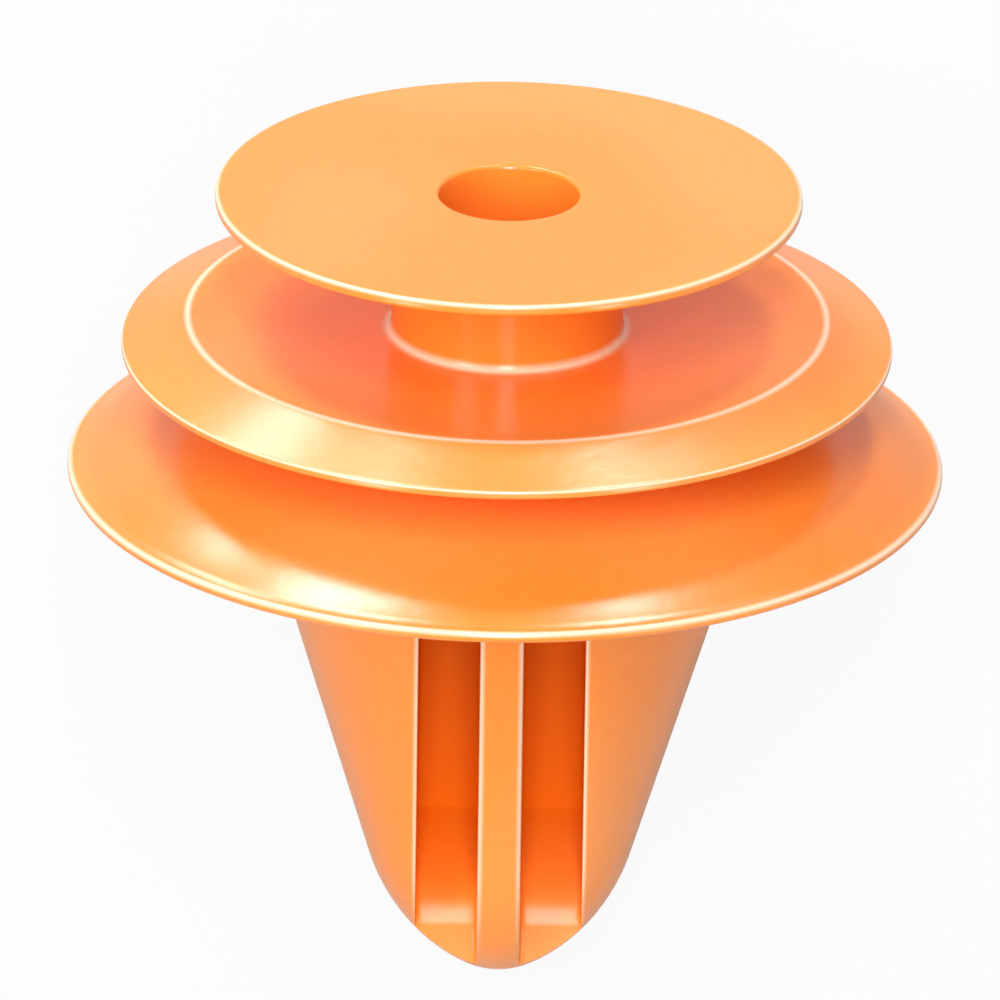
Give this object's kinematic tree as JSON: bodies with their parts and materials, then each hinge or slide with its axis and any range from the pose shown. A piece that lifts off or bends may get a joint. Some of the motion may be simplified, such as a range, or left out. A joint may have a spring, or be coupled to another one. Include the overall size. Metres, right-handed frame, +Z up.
{
  "type": "retaining clip",
  "caption": "Moulded push-in trim clip: flat head, neck, collar and umbrella seal over a grooved bullet-shaped shank that snaps into a hole in a panel.",
  "frame": {"origin": "middle of the clip's box at the table that it lies on", "axes": "the clip lies on the rim of its skirt and the side of its nose; +Z is up, the head points to +Y and up, the nose to -Y, and the two grooves face up"},
  "size_m": [0.02, 0.0198, 0.0175],
  "materials": {
    "nylon": "satin, as moulded"
  },
  "bodies": {
    "root": {"retaining_clip": "nylon"}
  },
  "joints": []
}
